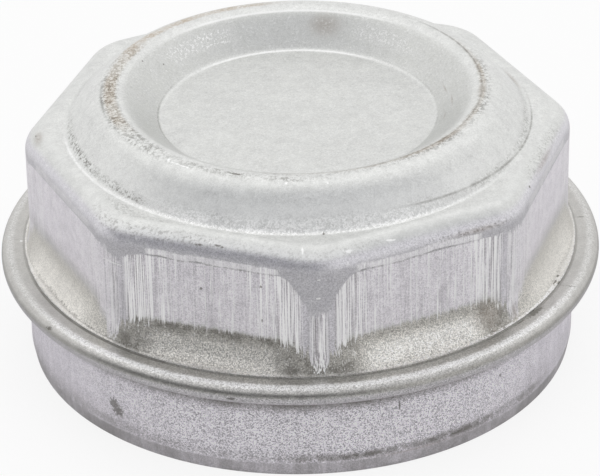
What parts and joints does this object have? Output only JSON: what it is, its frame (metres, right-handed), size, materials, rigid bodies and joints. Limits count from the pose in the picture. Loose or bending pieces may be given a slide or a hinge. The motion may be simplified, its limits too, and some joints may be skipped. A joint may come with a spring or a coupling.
{
  "type": "hub grease cap",
  "caption": "Press-in hub grease cap of drawn sheet steel, with an octagonal head, a ridge round a sunk top, a folded flange and a smooth round skirt.",
  "frame": {"origin": "middle of the skirt's rim, on the plane that the cap stands on", "axes": "+Z along the cap's axis towards the closed top, +X through a corner of the octagonal head"},
  "size_m": [0.0786, 0.0786, 0.036],
  "materials": {
    "zinc_plated_steel": "satin zinc plating with draw marks"
  },
  "bodies": {
    "root": {"cap_shell": "zinc_plated_steel"}
  },
  "joints": []
}
